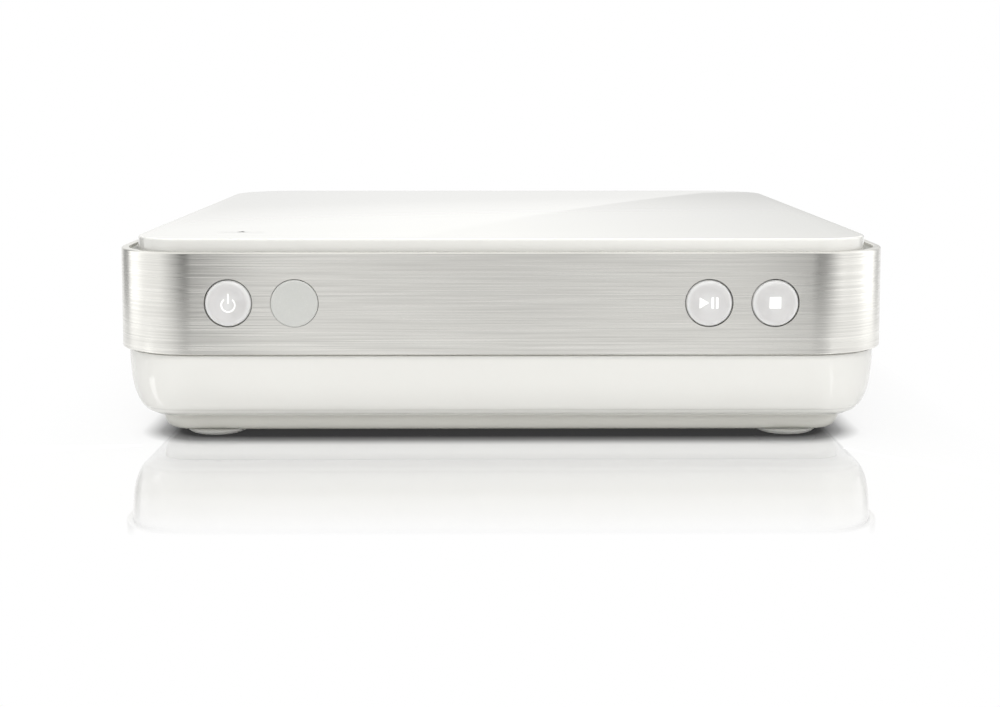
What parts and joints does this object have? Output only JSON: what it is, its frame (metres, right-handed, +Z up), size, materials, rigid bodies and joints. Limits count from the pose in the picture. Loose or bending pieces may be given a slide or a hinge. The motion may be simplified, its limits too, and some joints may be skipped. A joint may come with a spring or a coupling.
{
  "type": "top-loading disc player",
  "caption": "Compact square disc player with a hinged lid over a fixed disc well, a brushed metal band with round front buttons, and rear sockets.",
  "frame": {"origin": "on the table, under the middle of the case", "axes": "+Z up, -Y out of the front with the buttons, +X to the right as seen from the front"},
  "size_m": [0.25, 0.2505, 0.0657],
  "materials": {
    "brushed_aluminium": "brushed lengthwise, satin",
    "lid_gloss": "high gloss white",
    "shell_gloss": "high gloss white",
    "pan_plastic": "glossy pale grey white",
    "button_plastic": "clear lacquer over milky white",
    "window_plastic": "milky, lets infrared through",
    "frame_plastic": "fine matt",
    "deck_plastic": "satin white",
    "panel_plastic": "fine spark texture",
    "catch_plastic": "satin",
    "black_plastic": "moulded black",
    "chip_plastic": "moulded epoxy",
    "sled_plastic": "glass filled",
    "circuit_board": "solder mask",
    "power_board_resin": "paper laminate",
    "lamp_resin": "clear resin",
    "dark_resin": "dark filter resin",
    "foot_rubber": "pale grey, satin",
    "bumper_rubber": "soft translucent",
    "grommet_rubber": "black, matt",
    "steel": "zinc plated",
    "chassis_steel": "zinc plated sheet",
    "polished_steel": "ground and polished",
    "motor_can": "drawn can",
    "jack_plating": "nickel plated",
    "lens_glass": "blue coated",
    "ferrite": "ferrite and tape",
    "capacitor_sleeve": "dark blue sleeve",
    "yellow_plastic": "moulded",
    "white_plastic": "moulded",
    "red_plastic": "moulded",
    "orange_plastic": "moulded"
  },
  "bodies": {
    "case": {"band": "brushed_aluminium", "band_carrier": "frame_plastic", "lower_shell": "shell_gloss", "base_pan": "pan_plastic", "feet": "foot_rubber", "case_screws": "steel", "disc_deck": "deck_plastic", "disc_tray": "deck_plastic", "deck_screws": "steel", "hinge_pins": "steel", "lid_bumpers": "bumper_rubber", "catch_housing": "frame_plastic", "lid_switch": "black_plastic", "ir_window": "window_plastic", "front_board": "circuit_board", "tact_switches": "black_plastic", "indicator_lamps": "lamp_resin", "ir_receiver": "dark_resin", "mech_chassis": "chassis_steel", "mech_grommets": "grommet_rubber", "mech_screws": "steel", "spindle_motor": "motor_can", "guide_rods": "polished_steel", "sled_motor": "motor_can", "screw_bracket": "chassis_steel", "main_board": "circuit_board", "main_chips": "chip_plastic", "power_board": "power_board_resin", "transformer": "ferrite", "capacitors": "capacitor_sleeve", "rear_panel": "panel_plastic", "scart_socket": "black_plastic", "jack_sleeves": "jack_plating", "video_jack": "yellow_plastic", "left_jack": "white_plastic", "right_jack": "red_plastic", "coaxial_jack": "orange_plastic", "mains_inlet": "black_plastic"},
    "lid": {"lid_cover": "lid_gloss", "lid_liner": "deck_plastic", "switch_flag": "black_plastic", "disc_retainer": "deck_plastic", "striker_plate": "steel"},
    "power_key": {"power_button": "button_plastic"},
    "play_key": {"play_button": "button_plastic"},
    "stop_key": {"stop_button": "button_plastic"},
    "catch": {"catch_plunger": "catch_plastic"},
    "spindle": {"turntable": "black_plastic", "platter_ring": "grommet_rubber"},
    "sled": {"pickup_sled": "sled_plastic", "lens_holder": "black_plastic", "lens": "lens_glass"},
    "screw": {"lead_screw": "polished_steel"}
  },
  "joints": [
    {"name": "lid_hinge", "type": "hinge", "parent": "case", "child": "lid", "pos_m": [0, 0.112, 0.061], "axis": [-1, 0, 0], "range_deg": [0, 75]},
    {"name": "power_press", "type": "slide", "parent": "case", "child": "power_key", "axis": [0, 1, 0], "range_m": [0, 0.0008], "stiffness_N_per_m": 500},
    {"name": "play_press", "type": "slide", "parent": "case", "child": "play_key", "axis": [0, 1, 0], "range_m": [0, 0.0008], "stiffness_N_per_m": 500},
    {"name": "stop_press", "type": "slide", "parent": "case", "child": "stop_key", "axis": [0, 1, 0], "range_m": [0, 0.0008], "stiffness_N_per_m": 500},
    {"name": "catch_press", "type": "slide", "parent": "case", "child": "catch", "axis": [0, 0, -1], "range_m": [0, 0.0015], "stiffness_N_per_m": 300},
    {"name": "turntable_spin", "type": "hinge", "parent": "case", "child": "spindle", "pos_m": [0, -0.008, 0.053], "axis": [0, 0, 1], "continuous": true},
    {"name": "sled_slide", "type": "slide", "parent": "case", "child": "sled", "axis": [0, -1, 0], "range_m": [0, 0.033]},
    {"name": "screw_turn", "type": "hinge", "parent": "case", "child": "screw", "pos_m": [0.03, -0.05, 0.0462], "axis": [0, 1, 0], "range_deg": [0, 3961]}
  ],
  "couplings": [
    {"joint": "screw_turn", "follows": "sled_slide", "rad_per_m": 2094.4}
  ]
}
